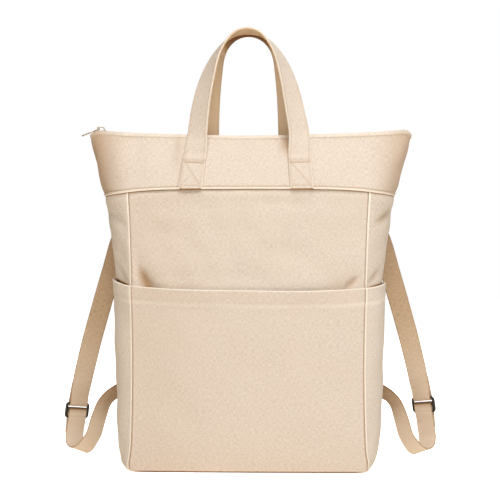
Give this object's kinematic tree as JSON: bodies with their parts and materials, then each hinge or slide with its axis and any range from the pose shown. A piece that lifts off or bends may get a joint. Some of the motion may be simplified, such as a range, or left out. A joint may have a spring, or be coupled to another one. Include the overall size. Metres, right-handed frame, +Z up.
{
  "type": "cotton backpack",
  "caption": "Soft undyed cotton backpack with a wide closed zip top, short carrying handles, an open front pocket and side pockets, and slim adjustable shoulder straps.",
  "frame": {"origin": "on the floor under the middle of the base panel", "axes": "+Z up from the base to the handles, -Y out of the front with the pocket, +X to the viewer's right from the front"},
  "size_m": [0.4779, 0.1362, 0.5458],
  "materials": {
    "canvas": "undyed plain weave",
    "webbing": "undyed flat webbing",
    "zip_tape": "woven tape",
    "zip_coil": "satin coil",
    "buckle_metal": "dark gunmetal",
    "zip_metal": "pale nickel"
  },
  "bodies": {
    "bag": {"front_panel": "canvas", "back_panel": "canvas", "side_panel_left": "canvas", "side_panel_right": "canvas", "base_panel": "canvas", "yoke_front": "canvas", "yoke_back": "canvas", "pocket_front": "canvas", "pocket_side_left": "canvas", "pocket_side_right": "canvas", "handle_front": "canvas", "handle_back": "canvas", "shoulder_strap_left": "webbing", "shoulder_strap_right": "webbing", "lower_strap_left": "webbing", "lower_strap_right": "webbing", "strap_buckle_left": "buckle_metal", "strap_buckle_right": "buckle_metal", "zip_tape_front": "zip_tape", "zip_tape_back": "zip_tape", "zip_teeth": "zip_coil", "zip_slider": "zip_metal"},
    "puller": {"zip_puller": "zip_metal"}
  },
  "joints": [
    {"name": "zip_pull", "type": "hinge", "parent": "bag", "child": "puller", "pos_m": [-0.1878, 0, 0.4229], "axis": [0, 1, 0], "range_deg": [0, 205]}
  ]
}
